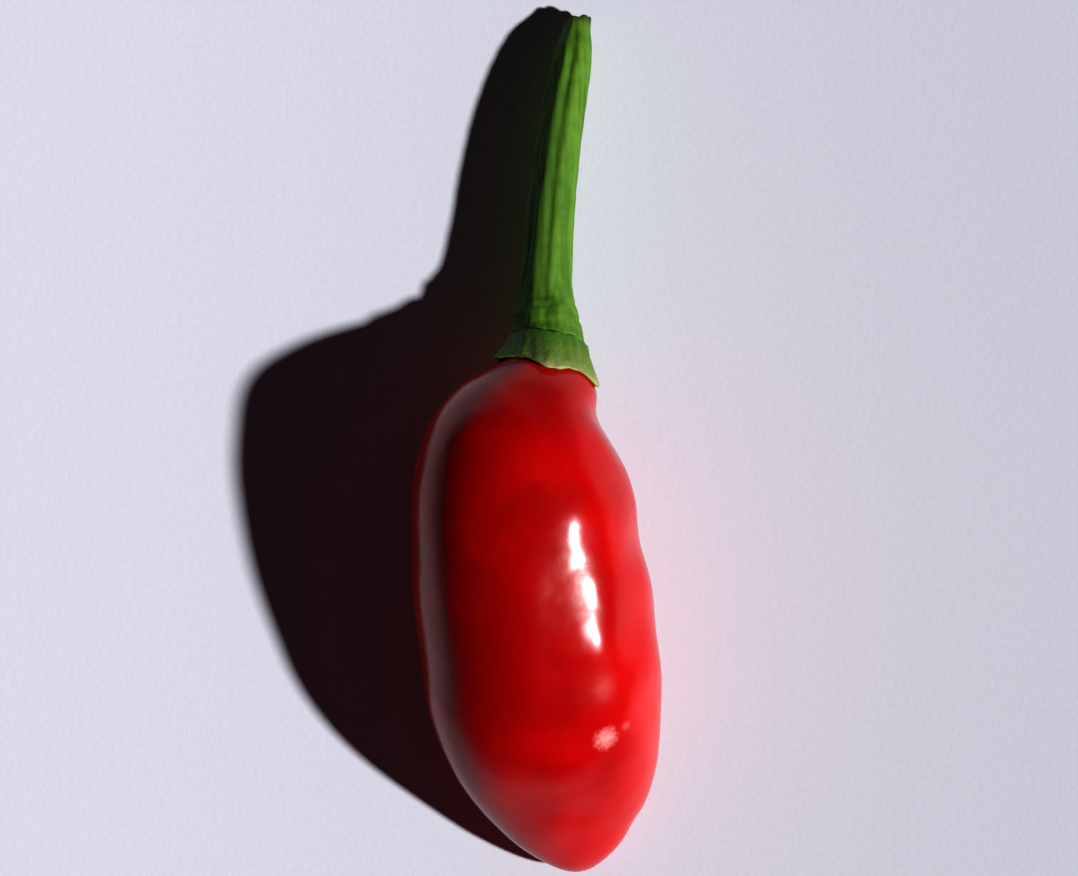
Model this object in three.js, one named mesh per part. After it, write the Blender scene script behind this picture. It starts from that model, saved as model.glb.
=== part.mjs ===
// A small plump red chilli pepper as picked: pod, calyx and cut stem, lying on its side.
// Millimetres, +Z up. The stem points along +Y and the tip of the pod along -Y.
// The origin is under the middle of the whole pepper, on the surface that it lies on.
import * as THREE from 'three';

// Sizes of the pod
const POD_HALF_WIDTH = 8.05; // at the widest place
const NECK_HALF_WIDTH = 2.45; // under the calyx
const SHOULDER_FULLNESS = 2.65; // how soon the shoulder widens below the neck
const WIDEST_SHARE = 0.48; // of the way from the neck to the tip
const TIP_POWER = 2.45; // a higher power makes the lower half fuller
const TIP_ROUNDNESS = 0.62; // a lower power makes the tip blunter
const TIP_FLATTENING = 0.35; // the tip end is this much lower than it is wide
const FLATTENING_START = 0.38; // of the way from the neck to the tip
const CROWN_HEIGHT = 0.9; // the dome of the pod inside the calyx
const LOBE_COUNT = 3;
const LOBE_HEIGHT = 0.07;
const LOBE_ANGLE = 25;

// Hollows and swellings of the skin: the way below the neck, the angle round the pod from
// its right side over the top, the length and the angle that each one spreads, and its height
const SKIN_FORMS = [
  { below: 3.4, angle: 0, length: 1.7, spread: 45, height: -0.3 },
  { below: 12.9, angle: 8, length: 1.6, spread: 30, height: -0.42 },
  { below: 16.0, angle: 12, length: 1.8, spread: 26, height: 0.12 },
  { below: 13.4, angle: 180, length: 2.6, spread: 40, height: -0.2 },
  { below: 8.4, angle: 16, length: 2.2, spread: 38, height: 0.22 },
  { below: 24.4, angle: 180, length: 2.2, spread: 40, height: 0.22 },
  { below: 9.1, angle: 62, length: 2.7, spread: 28, height: 0.3 },
  { below: 21.5, angle: 60, length: 1.6, spread: 22, height: -0.07 },
  { below: 34.0, angle: 10, length: 0.9, spread: 50, height: -0.22 },
];

// Sizes of the calyx
const CALYX_TOP_RADIUS = 2.72; // at the step above which the stem swells
const CALYX_EDGE_ROUND = 0.14;
const CALYX_WAIST = { down: 0.6, radius: 2.8 }; // pulls the side in before it flares
const CALYX_WALL = 0.62;
const CALYX_EDGE_WALL = 0.36; // at the ends of the teeth
const TOOTH_COUNT = 5;
const TOOTH_ANGLE = 18; // of the first tooth, from the right side
const TOOTH_SHARPNESS = 1.4;
const RIM_BELOW_NECK = 0.75; // the edge between two teeth
const TOOTH_LENGTH = 0.5;
const CALYX_RIB = 0.14;
const RIB_START = 0.3; // how far a rib has risen at the step

// Sizes of the stem: the way from the cut end, and the radius there
const STEM_OUTLINE = [
  [0, 0.88],
  [0.8, 0.95],
  [2.7, 1.33],
  [9, 1.55],
  [16, 1.72],
  [19.2, 1.88],
  [20.6, 2.25],
  [22.4, 2.42],
];
const STEM_GROOVES = [
  { angle: 92, depth: 0.2, spread: 13 },
  { angle: 136, depth: 0.08, spread: 13 },
  { angle: 190, depth: 0.2, spread: 15 },
  { angle: 240, depth: 0.24, spread: 14 },
  { angle: 310, depth: 0.2, spread: 14 },
  { angle: 25, depth: 0.1, spread: 14 },
];
const GROOVE_START = { share: 0.3, length: 3.5 }; // how they deepen from the cut end
// The stalk is taller than wide by this share, less so towards the calyx.
const STEM_EXTRA_HEIGHT = 0.24;
const CUT_CHAMFER = 0.12;
const CUT_HOLLOW = 0.18; // the pith has shrunk back from the cut
const PITH_EDGE = { radius: 0.4, way: 0.1, ribs: 0.4 };

const FIT_GAP = 0.06; // between a piece and the next
const SURFACE_HEIGHT = 0; // what the pepper lies on: the belly is flat there

// How finely each piece is divided
const POD_SIDES = 36;
const POD_RINGS = 38;
const RING_CROWDING = 0.7; // towards the neck and the tip, where 0 is evenly spaced
const CROWN_RINGS = 4;
const CALYX_SIDES = 50;
const CALYX_SIDE_RINGS = 3;
const CALYX_RIM_RINGS = 4;
const STEM_SIDES = 40;
const STEM_RINGS = 28;
const SPINE_STEPS = 40; // between two stations

// One spine runs from the cut end of the stem, through the calyx, to the tip of the pod.
// turn swings a cross-section round Z and lean tips it back, in degrees.
const STATIONS = [
  { place: 'cut end', at: [2.87, 28.4, 1.4], turn: -10, lean: 17 },
  { place: 'stem', at: [2.43, 25.6, 2.5], turn: 8, lean: 14 },
  { place: 'stem', at: [1.43, 19.5, 3.5], turn: 8, lean: 6 },
  { place: 'stem', at: [0.77, 12.8, 3.9], turn: 4, lean: 7 },
  { place: 'stem', at: [0.6, 9.4, 4.4], turn: 1, lean: 15 },
  { place: 'step', at: [0.73, 6.7, 5.55], turn: 4, lean: 19 },
  { place: 'neck', at: [0.73, 5.4, 6.5], turn: 12, lean: 12 },
  { place: 'teeth', at: [0.63, 4.3, 7.4], turn: 15, lean: 8 },
  { place: 'shoulder', at: [-0.5, 2.7, 8.1], turn: 11, lean: 4 },
  { place: 'shoulder', at: [-1.1, 0.55, 9.15], turn: 6, lean: -2 },
  { place: 'belly', at: [-0.93, -3.2, 8.68], turn: 1, lean: -9 },
  { place: 'belly', at: [-0.4, -8.8, 7.85], turn: 0, lean: -8 },
  { place: 'belly', at: [0.33, -14.3, 7.3], turn: -1, lean: -10 },
  { place: 'belly', at: [1.13, -20.2, 5.95], turn: -6, lean: -16 },
  { place: 'nose', at: [2.3, -25.0, 3.1], turn: -8, lean: -20 },
  { place: 'tip', at: [3.6, -28.7, 1.55], turn: -18, lean: -24 },
];

const rad = THREE.MathUtils.degToRad;
const TURN_ROUND = 2 * Math.PI;

const spine = new THREE.CatmullRomCurve3(STATIONS.map(({ at }) => new THREE.Vector3(...at)));
const tilts = new THREE.CatmullRomCurve3(
  STATIONS.map(({ turn, lean }) => new THREE.Vector3(rad(turn), rad(lean), 0)),
);
spine.arcLengthDivisions = (STATIONS.length - 1) * SPINE_STEPS;
const lengths = spine.getLengths();
const spineLength = lengths[lengths.length - 1];

// The way along the spine from the cut end to a named station.
function wayTo(name) {
  return lengths[STATIONS.findIndex(({ place }) => place === name) * SPINE_STEPS];
}

const stepWay = wayTo('step');
const neckWay = wayTo('neck');
const podLength = spineLength - neckWay;

// A point beside the spine: its way along the spine, and its offsets across and up.
function besideSpine(way, across, up) {
  const t = spine.getUtoTmapping(Math.min(1, way / spineLength));
  const { x: turn, y: lean } = tilts.getPoint(t);
  const point = spine.getPoint(t);
  point.x += across * Math.cos(turn) + up * Math.sin(turn) * Math.sin(lean);
  point.y += -across * Math.sin(turn) + up * Math.cos(turn) * Math.sin(lean);
  point.z += up * Math.cos(lean);
  point.z = Math.max(point.z, SURFACE_HEIGHT);
  return point;
}

// How far an angle lies from another, from -PI to PI.
function apart(angle, other) {
  return THREE.MathUtils.euclideanModulo(angle - other + Math.PI, TURN_ROUND) - Math.PI;
}

function bell(distance, spread) {
  return Math.exp(-((distance / spread) ** 2));
}

// A closed body of revolution whose points are then placed one by one. The outline starts and
// ends on the axis, and place gives the point for an outline point and an angle.
function placedLathe(outline, sides, place) {
  const points = outline.map(({ radius, way }) => new THREE.Vector2(radius, way));
  const geometry = new THREE.LatheGeometry(points, sides);
  const position = geometry.attributes.position;
  for (let i = 0; i < position.count; i += 1) {
    const side = Math.floor(i / outline.length) % sides;
    const at = outline[i % outline.length];
    const angle = (side / sides) * TURN_ROUND;
    const { x, y, z } = at.radius > 0 ? place(at, angle) : besideSpine(at.way, 0, 0);
    position.setXYZ(i, x, y, z);
  }
  geometry.deleteAttribute('uv');
  geometry.computeVertexNormals();
  return geometry;
}

// The pod

function podHalfWidth(way) {
  const below = way - neckWay;
  if (below < 0) {
    return NECK_HALF_WIDTH * Math.sqrt(Math.max(0, 1 - (below / CROWN_HEIGHT) ** 2));
  }
  const widest = WIDEST_SHARE * podLength;
  if (below < widest) {
    const rise = 1 - (1 - below / widest) ** SHOULDER_FULLNESS;
    return THREE.MathUtils.lerp(NECK_HALF_WIDTH, POD_HALF_WIDTH, rise);
  }
  const share = Math.min(1, (below - widest) / (podLength - widest));
  return POD_HALF_WIDTH * (1 - share ** TIP_POWER) ** TIP_ROUNDNESS;
}

// How much the skin stands out past a plain oval section.
function skinRelief(way, angle) {
  const below = way - neckWay;
  const fade = THREE.MathUtils.smoothstep(podHalfWidth(way), NECK_HALF_WIDTH, POD_HALF_WIDTH);
  let height = fade * LOBE_HEIGHT * Math.cos(LOBE_COUNT * (angle - rad(LOBE_ANGLE)));
  for (const form of SKIN_FORMS) {
    const around = bell(apart(angle, rad(form.angle)), rad(form.spread));
    height += form.height * around * bell(below - form.below, form.length);
  }
  return height;
}

// A point of the skin, or one lifted off it.
function onPod(way, angle, lift = 0) {
  const wide = podHalfWidth(way) + skinRelief(way, angle) + lift;
  const share = (way - neckWay) / podLength;
  const flattening = THREE.MathUtils.smoothstep(share, FLATTENING_START, 1);
  const high = wide * (1 - TIP_FLATTENING * flattening);
  return besideSpine(way, wide * Math.cos(angle), high * Math.sin(angle));
}

function buildPod() {
  const outline = [];
  for (let i = 0; i < CROWN_RINGS; i += 1) {
    const slope = (i / CROWN_RINGS) * (Math.PI / 2);
    outline.push({ way: neckWay - CROWN_HEIGHT * Math.cos(slope) });
  }
  for (let i = 0; i <= POD_RINGS; i += 1) {
    const share = i / POD_RINGS;
    const crowded = (1 - Math.cos(Math.PI * share)) / 2;
    outline.push({ way: neckWay + podLength * THREE.MathUtils.lerp(share, crowded, RING_CROWDING) });
  }
  for (const point of outline) point.radius = podHalfWidth(point.way);
  outline[0].radius = 0;
  outline[outline.length - 1].radius = 0;
  return placedLathe(outline, POD_SIDES, ({ way }, angle) => onPod(way, angle));
}

// The calyx

// 1 in the middle of a tooth or rib, 0 between two.
function toothShare(angle) {
  const wave = 0.5 + 0.5 * Math.cos(TOOTH_COUNT * (angle - rad(TOOTH_ANGLE)));
  return wave ** TOOTH_SHARPNESS;
}

// Outline points with a share lie on the flaring skirt, which ends in the teeth: share is the
// way from the neck to the end of the skirt, and lift the height over the pod's skin.
function buildCalyx() {
  const top = stepWay + FIT_GAP / 2;
  const shoulder = CALYX_TOP_RADIUS - CALYX_EDGE_ROUND;
  const skirtRadius = NECK_HALF_WIDTH + FIT_GAP + CALYX_WALL;
  const outline = [
    { way: top, radius: 0 },
    { way: top, radius: shoulder / 2 },
    { way: top, radius: shoulder },
    { way: top + CALYX_EDGE_ROUND, radius: CALYX_TOP_RADIUS, rib: RIB_START },
  ];
  const side = new THREE.QuadraticBezierCurve(
    new THREE.Vector2(top + CALYX_EDGE_ROUND, CALYX_TOP_RADIUS),
    new THREE.Vector2(
      THREE.MathUtils.lerp(top, neckWay, CALYX_WAIST.down),
      CALYX_WAIST.radius,
    ),
    new THREE.Vector2(neckWay, skirtRadius),
  );
  for (let i = 1; i <= CALYX_SIDE_RINGS; i += 1) {
    const share = i / CALYX_SIDE_RINGS;
    const { x: way, y: radius } = side.getPoint(share);
    outline.push({ way, radius, rib: THREE.MathUtils.lerp(RIB_START, 1, share) });
  }
  for (let i = 1; i <= CALYX_RIM_RINGS; i += 1) {
    const share = i / CALYX_RIM_RINGS;
    const lift = FIT_GAP + THREE.MathUtils.lerp(CALYX_WALL, CALYX_EDGE_WALL, share);
    outline.push({ share, lift, rib: 1 - share / 2 });
  }
  for (let i = CALYX_RIM_RINGS; i >= 0; i -= 1) {
    outline.push({ share: i / CALYX_RIM_RINGS, lift: FIT_GAP, rib: 0 });
  }
  for (let i = CROWN_RINGS - 1; i > 0; i -= 1) {
    const slope = (i / CROWN_RINGS) * (Math.PI / 2);
    outline.push({ way: neckWay - (CROWN_HEIGHT + FIT_GAP) * Math.cos(slope), inner: slope });
  }
  outline.push({ way: neckWay - CROWN_HEIGHT - FIT_GAP, radius: 0 });
  for (const point of outline) {
    if (point.inner) point.radius = (NECK_HALF_WIDTH + FIT_GAP) * Math.sin(point.inner);
    if (point.share !== undefined) {
      point.way = neckWay + point.share;
      point.radius = NECK_HALF_WIDTH + point.lift;
    }
  }
  return placedLathe(outline, CALYX_SIDES, ({ way, radius, rib = 0, share, lift }, angle) => {
    const tooth = toothShare(angle);
    const ribHeight = rib * CALYX_RIB * tooth;
    if (share !== undefined) {
      const length = RIM_BELOW_NECK + TOOTH_LENGTH * tooth;
      return onPod(neckWay + share * length, angle, lift + ribHeight);
    }
    const reach = radius + ribHeight;
    return besideSpine(way, reach * Math.cos(angle), reach * Math.sin(angle));
  });
}

// The stem

function buildStem() {
  const radii = new THREE.CatmullRomCurve3(
    STEM_OUTLINE.map(([way, radius]) => new THREE.Vector3(way, radius, 0)),
  );
  const end = stepWay - FIT_GAP / 2;
  const scale = end / STEM_OUTLINE[STEM_OUTLINE.length - 1][0];
  const outline = [
    { way: CUT_HOLLOW, radius: 0, ribs: 0 },
    PITH_EDGE,
    { way: 0, radius: STEM_OUTLINE[0][1] - CUT_CHAMFER, ribs: 1 },
  ];
  for (let i = 0; i <= STEM_RINGS; i += 1) {
    const { x: way, y: radius } = radii.getPoint(i / STEM_RINGS);
    outline.push({ way: Math.max(way * scale, i === 0 ? CUT_CHAMFER : 0), radius, ribs: 1 });
  }
  outline.push({ way: end, radius: 0, ribs: 0 });
  return placedLathe(outline, STEM_SIDES, ({ way, radius, ribs }, angle) => {
    const deepened = THREE.MathUtils.smoothstep(way, 0, GROOVE_START.length);
    const grooving = ribs * THREE.MathUtils.lerp(GROOVE_START.share, 1, deepened);
    let reach = radius;
    for (const groove of STEM_GROOVES) {
      reach -= grooving * groove.depth * bell(apart(angle, rad(groove.angle)), rad(groove.spread));
    }
    const tallness = 1 + STEM_EXTRA_HEIGHT * (1 - (way / end) ** 4);
    return besideSpine(way, reach * Math.cos(angle), tallness * reach * Math.sin(angle));
  });
}

function piece(name, geometry, color, roughness) {
  const material = new THREE.MeshStandardMaterial({ color, roughness, metalness: 0 });
  const mesh = new THREE.Mesh(geometry, material);
  mesh.name = name;
  return mesh;
}

const group = new THREE.Group();
group.add(piece('pod', buildPod(), '#bf0608', 0.16));
group.add(piece('calyx', buildCalyx(), '#6f8f38', 0.5));
group.add(piece('stem', buildStem(), '#4f7f24', 0.5));

// The middle of the footprint goes to the origin.
const middle = new THREE.Box3().setFromObject(group).getCenter(new THREE.Vector3());
group.position.set(-middle.x, -middle.y, 0);

export default group;
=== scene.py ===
import bpy
import math
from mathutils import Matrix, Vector, noise


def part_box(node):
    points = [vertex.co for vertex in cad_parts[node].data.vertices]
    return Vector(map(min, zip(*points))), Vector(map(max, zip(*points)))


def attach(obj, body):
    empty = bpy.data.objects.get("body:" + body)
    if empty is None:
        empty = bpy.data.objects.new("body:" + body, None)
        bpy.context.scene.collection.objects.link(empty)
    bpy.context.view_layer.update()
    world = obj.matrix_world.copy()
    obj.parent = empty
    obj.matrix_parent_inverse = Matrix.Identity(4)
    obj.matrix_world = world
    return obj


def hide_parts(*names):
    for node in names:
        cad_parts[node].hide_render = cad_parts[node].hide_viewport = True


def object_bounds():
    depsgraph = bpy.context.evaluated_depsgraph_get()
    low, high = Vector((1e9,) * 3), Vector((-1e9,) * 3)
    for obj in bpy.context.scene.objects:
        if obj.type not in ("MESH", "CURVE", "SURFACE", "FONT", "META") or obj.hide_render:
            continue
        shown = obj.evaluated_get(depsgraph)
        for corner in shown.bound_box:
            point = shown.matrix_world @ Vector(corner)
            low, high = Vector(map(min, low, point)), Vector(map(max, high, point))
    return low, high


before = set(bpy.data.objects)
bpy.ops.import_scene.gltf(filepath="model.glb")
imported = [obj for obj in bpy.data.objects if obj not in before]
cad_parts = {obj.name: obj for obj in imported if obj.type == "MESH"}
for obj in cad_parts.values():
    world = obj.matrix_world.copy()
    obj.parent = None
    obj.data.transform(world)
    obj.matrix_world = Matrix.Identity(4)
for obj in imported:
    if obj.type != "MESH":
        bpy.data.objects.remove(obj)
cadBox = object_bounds()
mm = 0.001
jointWay = Vector((0, -0.945, 0.326))  # square to where the stem meets the calyx, towards the pod
lowerRight = Vector((0.45, 0, -0.89))  # the side of the stem and the calyx that is made fuller


# Mesh helpers

mergeDistance = 0.002 * mm
quadAngle = math.radians(80)
endDepth = 0.2 * mm  # what counts as the end of a piece
endCore = 1.5 * mm  # nearer to its middle than this, an end spreads less
nearby = 0.4 * mm  # from a place to the points that count as being there


def startFrom(nodeName, pieceName):  # a closed quad copy of a CAD node, to shape further
    bpy.ops.object.select_all(action="DESELECT")
    piece = bpy.data.objects.new(pieceName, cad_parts[nodeName].data.copy())
    piece.data.name = pieceName
    piece.data.materials.clear()
    bpy.context.scene.collection.objects.link(piece)
    bpy.context.view_layer.objects.active = piece
    piece.select_set(True)
    bpy.ops.mesh.customdata_custom_splitnormals_clear()
    bpy.ops.object.mode_set(mode="EDIT")
    bpy.ops.mesh.select_all(action="SELECT")
    bpy.ops.mesh.remove_doubles(threshold=mergeDistance)
    bpy.ops.mesh.tris_convert_to_quads(face_threshold=quadAngle, shape_threshold=quadAngle)
    bpy.ops.mesh.normals_make_consistent(inside=False)
    bpy.ops.object.mode_set(mode="OBJECT")
    return piece


def modify(piece, kind, **settings):  # adds a modifier and applies it
    bpy.context.view_layer.objects.active = piece
    modifier = piece.modifiers.new(kind.title(), kind)
    for name, value in settings.items():
        setattr(modifier, name, value)
    bpy.ops.object.modifier_apply(modifier=modifier.name)


def smooth(piece, levels):
    modify(piece, "SUBSURF", levels=levels, render_levels=levels)


def ripple(piece, size, height):  # a soft uneven relief, from peak to hollow
    clouds = bpy.data.textures.new(piece.name + "Relief", "CLOUDS")
    clouds.noise_scale = size
    clouds.noise_depth = 1
    modify(piece, "DISPLACE", texture=clouds, texture_coords="LOCAL", strength=height)


def shape(piece, reliefAt):  # moves each vertex along its normal
    normals = [vertex.normal.copy() for vertex in piece.data.vertices]
    for vertex, normal in zip(piece.data.vertices, normals):
        vertex.co += normal * reliefAt(vertex.co)


def flareEnd(piece, way, reach, push, spread):  # moves the end that faces this way on and outwards
    far = max(vertex.co.dot(way) for vertex in piece.data.vertices)
    end = [vertex.co.copy() for vertex in piece.data.vertices if vertex.co.dot(way) > far - endDepth]
    middle = sum(end, Vector()) / len(end)
    for vertex in piece.data.vertices:
        share = max(0, 1 - (far - vertex.co.dot(way)) / reach)
        outward = vertex.co - middle
        outward -= way * outward.dot(way)
        rim = min(1, outward.length / endCore)
        vertex.co += way * (push * share) + outward.normalized() * (spread * share * rim)


def fillOut(piece, way, height, middle, reach):  # fuller on the side that faces this way
    normals = [vertex.normal.copy() for vertex in piece.data.vertices]
    for vertex, normal in zip(piece.data.vertices, normals):
        facing = max(0, normal.dot(way)) ** 2
        vertex.co += normal * (height * facing * hump(vertex.co.y / mm, middle, reach))


def keepInside(piece):  # nothing reaches past the part's box, nor below the surface
    low, high = cadBox
    for vertex in piece.data.vertices:
        for axis in range(3):
            vertex.co[axis] = min(max(vertex.co[axis], low[axis]), high[axis])


def topPoint(piece, x, y):  # the highest point near a place, given in mm
    spot = Vector((x, y)) * mm
    near = [vertex.co for vertex in piece.data.vertices if (vertex.co.xy - spot).length < nearby]
    return max(near, key=lambda place: place.z).copy()


def hump(value, middle, halfWidth):  # 1 at the middle, 0 beyond the half width
    share = min(1, abs(value - middle) / halfWidth)
    return (1 - share * share) ** 2


def finishPiece(piece, nodeName, material):
    for polygon in piece.data.polygons:
        polygon.use_smooth = True
    piece.data.materials.append(material)
    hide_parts(nodeName)
    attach(piece, "root")


# Shader helpers

class Wire:  # a socket of a material's nodes, with arithmetic
    def __init__(self, tree, socket=None):
        self.tree = tree
        self.socket = socket

    def node(self, kind, settings=None, sockets=None, out=0):
        made = self.tree.nodes.new(kind)
        for name, value in (settings or {}).items():
            setattr(made, name, value)
        for name, value in (sockets or {}).items():
            if isinstance(value, Wire):
                self.tree.links.new(value.socket, made.inputs[name])
            else:
                made.inputs[name].default_value = value
        return Wire(self.tree, made.outputs[out])

    def maths(self, operation, *terms):
        return self.node("ShaderNodeMath", {"operation": operation}, dict(enumerate(terms)))

    def __add__(self, other):
        return self.maths("ADD", self, other)

    def __radd__(self, other):
        return self.maths("ADD", other, self)

    def __sub__(self, other):
        return self.maths("SUBTRACT", self, other)

    def __rsub__(self, other):
        return self.maths("SUBTRACT", other, self)

    def __mul__(self, other):
        return self.maths("MULTIPLY", self, other)

    def __rmul__(self, other):
        return self.maths("MULTIPLY", other, self)

    def ease(self, start, end):  # 0 at start, 1 at end, smooth between
        rise = {"interpolation_type": "SMOOTHSTEP"}
        return self.node("ShaderNodeMapRange", rise, {"Value": self, "From Min": start, "From Max": end})

    def blend(self, first, second):  # two colours, mixed by this share
        return self.node("ShaderNodeMix", {"data_type": "RGBA"}, {0: self, 6: first, 7: second}, 2)

    def dim(self, share):  # a colour, scaled
        return self.node("ShaderNodeVectorMath", {"operation": "SCALE"}, {0: self, "Scale": share})

    def noise(self, scale, detail=2, roughness=0.5):  # the wire holds a place in metres
        sockets = {"Vector": self, "Scale": scale, "Detail": detail, "Roughness": roughness}
        return self.node("ShaderNodeTexNoise", None, sockets)

    def stretched(self, scale):
        return self.node("ShaderNodeMapping", None, {"Vector": self, "Scale": scale})

    def away(self, point):  # distance from a point
        return self.node("ShaderNodeVectorMath", {"operation": "DISTANCE"}, {0: self, 1: point}, 1)

    def along(self, direction):  # how far out in a direction
        return self.node("ShaderNodeVectorMath", {"operation": "DOT_PRODUCT"}, {0: self, 1: direction}, 1)


def newMaterial(name):  # the material, its place wire and its surface shader
    material = bpy.data.materials.new(name)
    material.use_nodes = True
    tree = material.node_tree
    shader = tree.nodes["Principled BSDF"]
    place = Wire(tree).node("ShaderNodeTexCoord", None, None, "Object")
    return material, place, shader


def setShader(shader, **sockets):
    for words, value in sockets.items():
        socket = shader.inputs[words.replace("_", " ")]
        if isinstance(value, Wire):
            value.tree.links.new(value.socket, socket)
        else:
            socket.default_value = value


def bump(height, distance, strength=1.0):
    sockets = {"Height": height, "Distance": distance, "Strength": strength}
    return height.node("ShaderNodeBump", None, sockets)


# The pod

pod = {
    "smoothing": 2,
    "lumpSize": 3.8 * mm,
    "lumpHeight": 0.26 * mm,
    "lumpSeed": Vector((44.2, 38.6, 36.3)),  # chosen for the highlight that it gives
    "calmFrom": -4,  # in mm: the lumps fade out towards the left side
    "calmReach": 5,
    "calmShare": 0.2,
    "waveSize": 1.3 * mm,
    "waveHeight": 0.014 * mm,
    "deepRed": (0.46, 0.0006, 0.0008, 1),
    "brightRed": (0.62, 0.0012, 0.0014, 1),
    "neckRed": (0.58, 0.010, 0.006, 1),
    # brighter red towards the tip: partly the pod's own colour, partly painted light
    "litTipRed": (0.65, 0.0012, 0.0014, 1),
    # painted light: the right flank, which faces the lamp, is a brighter red
    "litFlankRed": (0.66, 0.0016, 0.002, 1),
    "neckFade": (6 * mm, 2.5 * mm),  # where each colour starts and where it is full
    "litTipFade": (9.5 * mm, 3 * mm),
    "litFlankFade": (3.8 * mm, 7.6 * mm),
    "glintSpotAt": (4.87, -19.87),  # painted highlight: a small pale spot, in mm
    "glintPink": (0.95, 0.38, 0.37, 1),
    "glintFade": (1.75 * mm, 0.6 * mm),
    "glintSpeckle": 1.2 * mm,  # how broken its edge is
    "smallGlintSpotAt": (6.37, -18.6),
    "smallGlintFade": (0.5 * mm, 0.05 * mm),
    "smallGlintShare": 0.25,
    "scarBrown": (0.16, 0.05, 0.02, 1),
    "scarFade": (0.35 * mm, 0.14 * mm),
    "scarRoughness": 0.4,
    "roughness": 0.23,
    "unevenness": 0.08,
    "waxDepth": 0.045 * mm,
    "grainShare": 0.03,
}


def podSkin(tipPoint, neckPoint, glintPoint, smallGlintPoint):
    material, place, shader = newMaterial("podSkin")
    patches = place.noise(160, 3).ease(0.35, 0.68)
    colour = patches.blend(pod["deepRed"], pod["brightRed"])
    colour = place.away(neckPoint).ease(*pod["neckFade"]).blend(colour, pod["neckRed"])
    # brighter red towards the tip, partly painted light
    colour = place.away(tipPoint).ease(*pod["litTipFade"]).blend(colour, pod["litTipRed"])
    # painted light: brighter red on the right flank, where the lamp falls
    colour = place.along((1, 0, 0)).ease(*pod["litFlankFade"]).blend(colour, pod["litFlankRed"])
    # painted highlight: two pale spots where the skin would catch the lamp, the larger one with a broken
    # edge
    speckle = place.noise(3400, 3, 0.6) * pod["glintSpeckle"]
    paintedGlint = (place.away(glintPoint) + speckle).ease(*pod["glintFade"])
    smallPaintedGlint = place.away(smallGlintPoint).ease(*pod["smallGlintFade"]) * pod["smallGlintShare"]
    colour = paintedGlint.blend(colour, pod["glintPink"])
    colour = smallPaintedGlint.blend(colour, pod["glintPink"])
    scar = place.away(tipPoint).ease(*pod["scarFade"])
    colour = scar.blend(colour, pod["scarBrown"])
    waxy = place.noise(620, 1, 0.4)
    grain = place.noise(4200, 2)
    uneven = (place.noise(900, 3) - 0.5) * pod["unevenness"]
    setShader(
        shader,
        Base_Color=colour,
        Roughness=uneven + pod["roughness"] + scar * pod["scarRoughness"],
        Normal=bump(waxy + grain * pod["grainShare"], pod["waxDepth"]),
        IOR=1.45,
        Coat_Weight=0.06,
        Coat_Roughness=0.1,
        Subsurface_Weight=0.06,
        Subsurface_Radius=(1.0, 0.12, 0.08),
        Subsurface_Scale=1.2 * mm,
    )
    return material


def podRelief(place):  # low lumps, lower on the left side
    side = (place.x / mm - pod["calmFrom"]) / pod["calmReach"]
    height = pod["lumpHeight"] * min(1, max(pod["calmShare"], side))
    return height * noise.noise(place / pod["lumpSize"] + pod["lumpSeed"])


def makePod():
    skin = startFrom("pod", "podSkinPiece")
    places = [vertex.co.copy() for vertex in skin.data.vertices]
    tipPoint = min(places, key=lambda place: place.y)
    neckPoint = max(places, key=lambda place: place.y)
    smooth(skin, pod["smoothing"])
    shape(skin, podRelief)
    ripple(skin, pod["waveSize"], pod["waveHeight"])
    keepInside(skin)
    glintPoints = [topPoint(skin, *pod[name]) for name in ("glintSpotAt", "smallGlintSpotAt")]
    finishPiece(skin, "pod", podSkin(tipPoint, neckPoint, *glintPoints))
    print("pod done", len(skin.data.polygons))


# The calyx

calyx = {
    "smoothing": 2,
    "lumpSize": 0.9 * mm,
    "lumpHeight": 0.09 * mm,
    "way": Vector((0, -0.86, 0.5)),  # from the stalk to the pod
    "across": Vector((0, 0.5, 0.86)),
    "furrowsPerMm": 1.7,
    "furrowStretch": 0.15,
    "furrowDepth": 0.09 * mm,
    "fullness": 0.28 * mm,
    "fullAt": 6.3,  # in mm along the pepper, like its reach
    "fullReach": 2.6,
    "collarReach": 0.45 * mm,
    "collarRise": 0.2 * mm,  # into the foot of the stem
    "collarSpread": -0.14 * mm,  # drawn in, for a lower ledge round the stem
    "green": (0.085, 0.21, 0.018, 1),
    "olive": (0.19, 0.30, 0.045, 1),
    "paleEdge": (0.42, 0.46, 0.18, 1),
    "paleAt": (0.45, 4.95),  # a pale spot at the root of one tooth, in mm
    "paleReach": 0.9 * mm,
    "oliveFade": (-0.8 * mm, 1.2 * mm),  # from its middle towards the pod
    "edgeFade": (1.0 * mm, 2.3 * mm),
    "skinDepth": 0.16 * mm,
}


def calyxTissue(palePoint):
    material, place, shader = newMaterial("calyxTissue")
    low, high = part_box("calyx")
    middle = (low + high) / 2
    reach = place.along(jointWay) - middle.dot(jointWay)
    mottle = place.noise(1500, 4, 0.6)
    uneven = reach + mottle * mm
    colour = uneven.ease(*calyx["oliveFade"]).blend(calyx["green"], calyx["olive"])
    colour = uneven.ease(*calyx["edgeFade"]).blend(colour, calyx["paleEdge"])
    colour = place.away(palePoint).ease(calyx["paleReach"], 0).blend(colour, calyx["paleEdge"])
    grain = place.noise(5200, 3, 0.6)
    setShader(
        shader,
        Base_Color=colour,
        Roughness=mottle * 0.2 + 0.48,
        Normal=bump(mottle * 0.7 + grain * 0.3, calyx["skinDepth"]),
        Specular_IOR_Level=0.35,
        Subsurface_Weight=0.08,
        Subsurface_Radius=(0.5, 1.0, 0.2),
        Subsurface_Scale=0.5 * mm,
    )
    return material


def calyxRelief(place):  # thin furrows from the stalk to the rim
    spot = place / mm
    around = Vector((spot.x, spot.dot(calyx["across"]), spot.dot(calyx["way"]) * calyx["furrowStretch"]))
    return calyx["furrowDepth"] * noise.noise(around * calyx["furrowsPerMm"])


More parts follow.
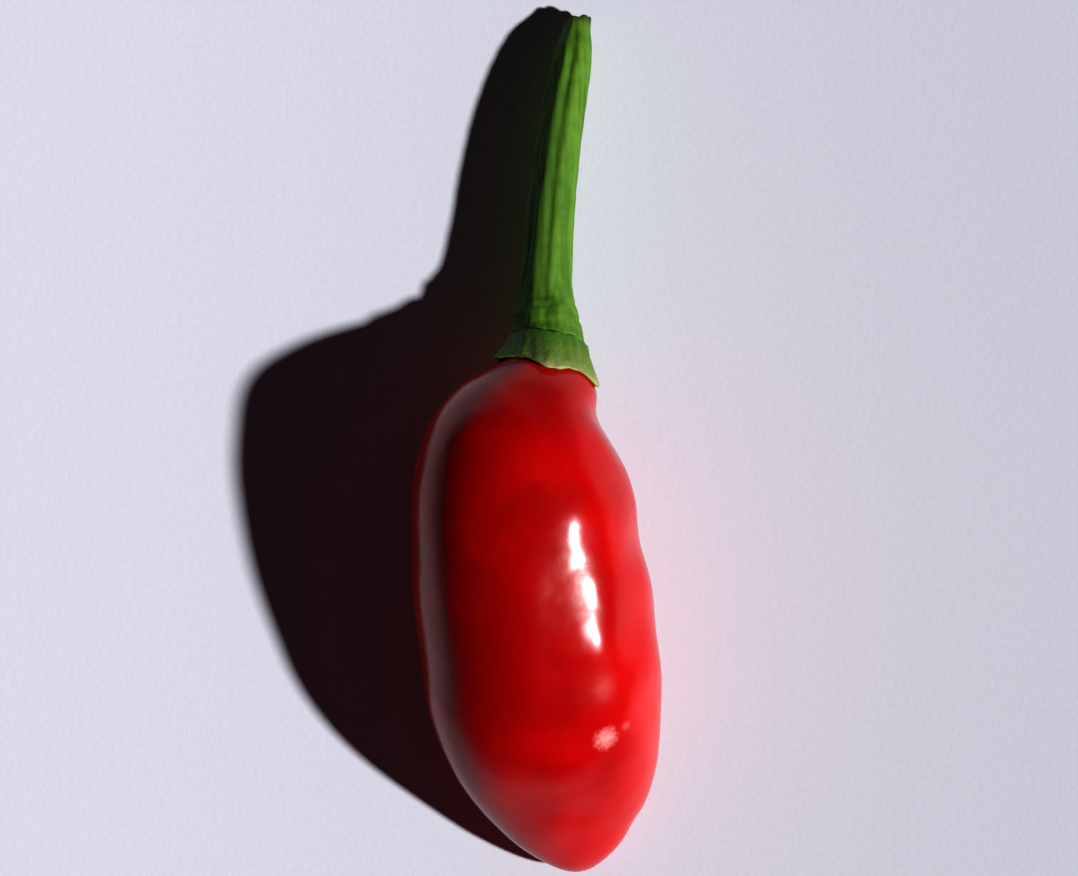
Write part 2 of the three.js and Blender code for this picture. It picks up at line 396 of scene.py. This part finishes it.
def makeCalyx():
    cap = startFrom("calyx", "calyxCap")
    smooth(cap, calyx["smoothing"])
    ripple(cap, calyx["lumpSize"], calyx["lumpHeight"])
    shape(cap, calyxRelief)
    fillOut(cap, lowerRight, calyx["fullness"], calyx["fullAt"], calyx["fullReach"])
    flareEnd(cap, -jointWay, calyx["collarReach"], calyx["collarRise"], calyx["collarSpread"])
    keepInside(cap)
    finishPiece(cap, "calyx", calyxTissue(topPoint(cap, *calyx["paleAt"])))
    print("calyx done", len(cap.data.polygons))


# The stem

stem = {
    "smoothing": 2,
    "lumpSize": 0.8 * mm,
    "lumpHeight": 0.07 * mm,
    "fibres": Vector((2.4, 0.2, 2.4)),  # to the mm, each way
    "fibreHeight": 0.06 * mm,
    "wrinkles": Vector((0.5, 2.3, 0.5)),
    "wrinkleHeight": 0.13 * mm,
    "swellingAt": 8.3,
    "swellingReach": 2.2,
    "fullness": 0.3 * mm,
    "fullAt": 8.6,
    "fullReach": 6.5,
    "footReach": 0.8 * mm,
    "footDrop": 0.26 * mm,  # into the calyx
    "footSpread": 0.2 * mm,
    "raggedDepth": 0.45 * mm,
    "raggedHeight": 0.22 * mm,
    "tearsPerMm": 2.6,
    "light": (0.15, 0.305, 0.033, 1),
    "dark": (0.085, 0.195, 0.015, 1),
    "leftSide": (0.065, 0.155, 0.012, 1),  # part of the shade there is in the colour
    "sideWay": (1, -0.09, 0),
    "sideFade": (0.3 * mm, -1.3 * mm),
    "cutRim": (0.05, 0.085, 0.012, 1),
    "rimFade": (-0.3 * mm, 0.3 * mm),
    "skinDepth": 0.12 * mm,
    "cutWay": Vector((0.16, 0.93, -0.33)).normalized(),
}


def stalkSkin(endPoint):
    material, place, shader = newMaterial("stalkSkin")
    streaks = place.stretched((1, 0.07, 1)).noise(1700, 3)
    mottle = place.noise(900, 3)
    colour = (streaks * 0.55 + mottle * 0.45).ease(0.34, 0.64).blend(stem["dark"], stem["light"])
    toCut = place.along(stem["cutWay"]) - endPoint.dot(stem["cutWay"])
    side = place.along(stem["sideWay"])
    colour = side.ease(*stem["sideFade"]).blend(colour, stem["leftSide"])
    colour = (toCut + mottle * 0.5 * mm).ease(*stem["rimFade"]).blend(colour, stem["cutRim"])
    height = streaks * 0.6 + mottle * 0.4
    setShader(
        shader,
        Base_Color=colour,
        Roughness=mottle * 0.2 + 0.55,
        Normal=bump(height, stem["skinDepth"]),
        Specular_IOR_Level=0.22,
        Subsurface_Weight=0.06,
        Subsurface_Radius=(0.5, 1.0, 0.2),
        Subsurface_Scale=0.5 * mm,
    )
    return material


def stemRelief(place):  # fibres along it, and wrinkles across the swelling
    spot = place / mm
    fibre = noise.noise(spot * stem["fibres"])
    wrinkle = noise.noise(spot * stem["wrinkles"])
    swelling = hump(spot.y, stem["swellingAt"], stem["swellingReach"])
    return stem["fibreHeight"] * fibre + stem["wrinkleHeight"] * swelling * wrinkle


def roughenCut(stalk, endPoint):  # the cut is torn a little
    edge = endPoint.dot(stem["cutWay"]) - stem["raggedDepth"]
    for vertex in stalk.data.vertices:
        past = min(1, (vertex.co.dot(stem["cutWay"]) - edge) / stem["raggedDepth"])
        if past > 0:
            tear = noise.noise(Vector((vertex.co.x, 0, vertex.co.z)) / mm * stem["tearsPerMm"])
            vertex.co += stem["cutWay"] * (stem["raggedHeight"] * past * tear)


def makeStem():
    stalk = startFrom("stem", "stalk")
    places = [vertex.co.copy() for vertex in stalk.data.vertices]
    endY = max(place.y for place in places)
    ending = [place for place in places if place.y > endY - stem["raggedDepth"]]
    endPoint = sum(ending, Vector()) / len(ending)
    smooth(stalk, stem["smoothing"])
    ripple(stalk, stem["lumpSize"], stem["lumpHeight"])
    shape(stalk, stemRelief)
    fillOut(stalk, lowerRight, stem["fullness"], stem["fullAt"], stem["fullReach"])
    roughenCut(stalk, endPoint)
    flareEnd(stalk, jointWay, stem["footReach"], stem["footDrop"], stem["footSpread"])
    keepInside(stalk)
    finishPiece(stalk, "stem", stalkSkin(endPoint))
    print("stem done", len(stalk.data.polygons))


# Floor, light and camera

studio = {
    # painted light: the sheet is lighter on the left and darker on the right
    "paperLitLeft": (0.825, 0.825, 0.92, 1),
    "paperDimRight": (0.695, 0.705, 0.78, 1),
    "paperFar": (0.27, 0.27, 0.295, 1),
    "paperMiddle": (0.021, 0, 0),
    "fadeStart": 0.060,
    "fadeEnd": 0.12,
    "sideFade": (-0.04, 0.04),
    "fibreDepth": 0.03 * mm,
    "floorSize": 3.0,
    "keyDirection": Vector((1.02, -0.28, 1)).normalized(),
    "keyAngle": math.radians(3.2),
    "keyPower": 4.3,
    "fill": (0.022, 0.0145, 0.0185, 1),
    "backdrop": (0.25, 0.25, 0.275, 1),
    "contrast": 0.75,
}
photo = {
    "width": 1078,
    "pixelsPerMetre": 15000,
    "centre": Vector((0.20, 0.38, 8.0)) * mm,  # what the middle of the picture looks at
    "distance": 1.0,
    "sensor": 36,
    "nearest": 0.01,
    "farthest": 20,
}


def makeFloor():
    bpy.ops.object.select_all(action="DESELECT")
    bpy.ops.mesh.primitive_plane_add(size=studio["floorSize"])
    floor = bpy.context.object
    floor.name = "floorSheet"
    material, place, shader = newMaterial("paperSheet")
    fibres = place.noise(2600, 4, 0.7)
    # painted light: the sheet lighter on the left, darker on the right
    side = place.along((1, 0, 0)).ease(*studio["sideFade"])
    fade = place.away(studio["paperMiddle"]).ease(studio["fadeStart"], studio["fadeEnd"])
    colour = side.blend(studio["paperLitLeft"], studio["paperDimRight"])
    colour = fade.blend(colour, studio["paperFar"])
    setShader(
        shader,
        Base_Color=colour.dim(fibres * 0.1 + 0.95),
        Roughness=fibres * 0.1 + 0.4,
        Normal=bump(fibres, studio["fibreDepth"], 0.5),
    )
    floor.data.materials.append(material)


def makeLight():
    lamp = bpy.data.lights.new("keyLight", "SUN")
    lamp.angle = studio["keyAngle"]
    lamp.energy = studio["keyPower"]
    key = bpy.data.objects.new("keyLight", lamp)
    key.rotation_euler = studio["keyDirection"].to_track_quat("Z", "Y").to_euler()
    bpy.context.scene.collection.objects.link(key)
    world = bpy.data.worlds.new("studioWorld")
    world.use_nodes = True
    bpy.context.scene.world = world
    tree = world.node_tree
    seen = Wire(tree).node("ShaderNodeLightPath", None, None, "Is Camera Ray")
    colour = seen.blend(studio["fill"], studio["backdrop"])
    tree.links.new(colour.socket, tree.nodes["Background"].inputs["Color"])


def makeCamera():
    lens = bpy.data.cameras.new("photoCamera")
    lens.sensor_width = photo["sensor"]
    shown = photo["width"] / photo["pixelsPerMetre"]
    lens.lens = photo["sensor"] * photo["distance"] / shown
    lens.clip_start = photo["nearest"]
    lens.clip_end = photo["farthest"]
    camera = bpy.data.objects.new("photoCamera", lens)
    camera.location = photo["centre"] + Vector((0, 0, photo["distance"]))
    bpy.context.scene.collection.objects.link(camera)
    bpy.context.scene.camera = camera


makeCamera()
makeFloor()
makeLight()
print("floor, light and camera done")
makePod()
makeCalyx()
makeStem()
bpy.context.scene.view_settings.view_transform = "Standard"
bpy.context.scene.view_settings.gamma = studio["contrast"]
